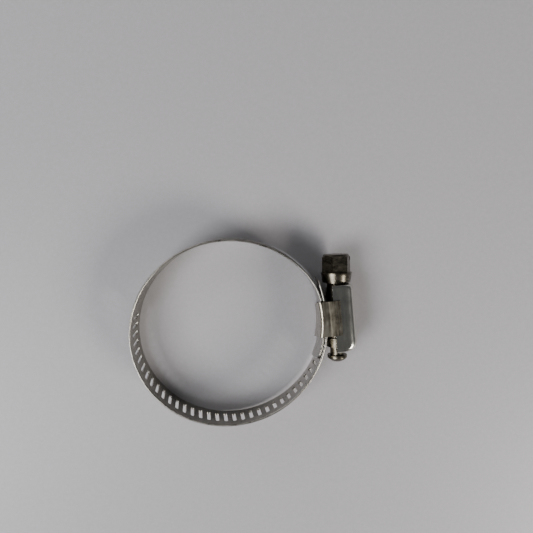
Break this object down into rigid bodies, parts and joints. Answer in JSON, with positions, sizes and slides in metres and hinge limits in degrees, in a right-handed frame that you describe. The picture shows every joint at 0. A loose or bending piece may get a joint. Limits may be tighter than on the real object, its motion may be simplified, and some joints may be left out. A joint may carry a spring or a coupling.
{
  "type": "hose clamp",
  "caption": "Perforated steel worm-drive hose clamp: slotted band, saddle, stamped housing and hex-head screw that tightens the loop.",
  "frame": {"origin": "on the axis of the hose, half way up the band, at the centre of the band's round far side", "axes": "+Z along the hose, +X from the hose towards the housing, +Y along the screw towards its hex head"},
  "size_m": [0.0702, 0.0575, 0.0142],
  "materials": {
    "band_steel": "rolled stainless strip, semi-bright, with fine lengthwise grain",
    "housing_steel": "stamped stainless sheet, semi-bright with drawn streaks",
    "screw_steel": "darker plated steel, satin, slightly worn on the edges"
  },
  "bodies": {
    "housing_and_fixed_end": {"housing": "housing_steel", "saddle": "housing_steel", "band_fixed_end": "band_steel"},
    "worm_screw": {"worm_screw": "screw_steel"},
    "band_section_1": {"band_section_1": "band_steel"},
    "band_section_2": {"band_section_2": "band_steel"},
    "band_section_3": {"band_section_3": "band_steel"},
    "band_section_4": {"band_section_4": "band_steel"},
    "band_section_5": {"band_section_5": "band_steel"},
    "band_section_6": {"band_section_6": "band_steel"},
    "band_section_7": {"band_section_7": "band_steel"},
    "band_section_8": {"band_section_8": "band_steel"},
    "band_section_9": {"band_section_9": "band_steel"},
    "band_slotted_end": {"band_slotted_end": "band_steel"}
  },
  "joints": [
    {"name": "screw_turn", "type": "hinge", "parent": "housing_and_fixed_end", "child": "worm_screw", "pos_m": [0.03637, 0.00283, 0], "axis": [-0.0698, -0.9976, 0], "range_deg": [-360, 1800]},
    {"name": "band_flex_1", "type": "hinge", "parent": "housing_and_fixed_end", "child": "band_section_1", "pos_m": [0.02745, 0.01636, 0], "axis": [0, 0, 1], "range_deg": [-0.98, 4.71]},
    {"name": "band_flex_2", "type": "hinge", "parent": "band_section_1", "child": "band_section_2", "pos_m": [0.01334, 0.02687, 0], "axis": [0, 0, 1], "range_deg": [-0.49, 2.27]},
    {"name": "band_flex_3", "type": "hinge", "parent": "band_section_2", "child": "band_section_3", "pos_m": [-0.00422, 0.0281, 0], "axis": [0, 0, 1], "range_deg": [-0.39, 1.77]},
    {"name": "band_flex_4", "type": "hinge", "parent": "band_section_3", "child": "band_section_4", "pos_m": [-0.01966, 0.01966, 0], "axis": [0, 0, 1], "range_deg": [-0.63, 2.95]},
    {"name": "band_flex_5", "type": "hinge", "parent": "band_section_4", "child": "band_section_5", "pos_m": [-0.02561, 0.01082, 0], "axis": [0, 0, 1], "range_deg": [-0.71, 3.34]},
    {"name": "band_flex_6", "type": "hinge", "parent": "band_section_5", "child": "band_section_6", "pos_m": [-0.0278, 0.00039, 0], "axis": [0, 0, 1], "range_deg": [-0.5, 2.29]},
    {"name": "band_flex_7", "type": "hinge", "parent": "band_section_6", "child": "band_section_7", "pos_m": [-0.02333, -0.01513, 0], "axis": [0, 0, 1], "range_deg": [-0.25, 1.06]},
    {"name": "band_flex_8", "type": "hinge", "parent": "band_section_7", "child": "band_section_8", "pos_m": [-0.01099, -0.02554, 0], "axis": [0, 0, 1], "range_deg": [-0.25, 1.06]},
    {"name": "band_flex_9", "type": "hinge", "parent": "band_section_8", "child": "band_section_9", "pos_m": [0.00232, -0.02807, 0], "axis": [0, 0, 1], "range_deg": [-0.37, 1.65]},
    {"name": "band_flex_10", "type": "hinge", "parent": "band_section_9", "child": "band_slotted_end", "pos_m": [0.01783, -0.02342, 0], "axis": [0, 0, 1], "range_deg": [-0.98, 4.69]}
  ],
  "couplings": [
    {"joint": "band_flex_1", "follows": "screw_turn", "ratio": 0.0025872},
    {"joint": "band_flex_2", "follows": "screw_turn", "ratio": 0.0012338},
    {"joint": "band_flex_3", "follows": "screw_turn", "ratio": 0.00095349},
    {"joint": "band_flex_4", "follows": "screw_turn", "ratio": 0.0016126},
    {"joint": "band_flex_5", "follows": "screw_turn", "ratio": 0.0018281},
    {"joint": "band_flex_6", "follows": "screw_turn", "ratio": 0.0012436},
    {"joint": "band_flex_7", "follows": "screw_turn", "ratio": 0.00056336},
    {"joint": "band_flex_8", "follows": "screw_turn", "ratio": 0.00056336},
    {"joint": "band_flex_9", "follows": "screw_turn", "ratio": 0.0008887},
    {"joint": "band_flex_10", "follows": "screw_turn", "ratio": 0.0025802}
  ]
}
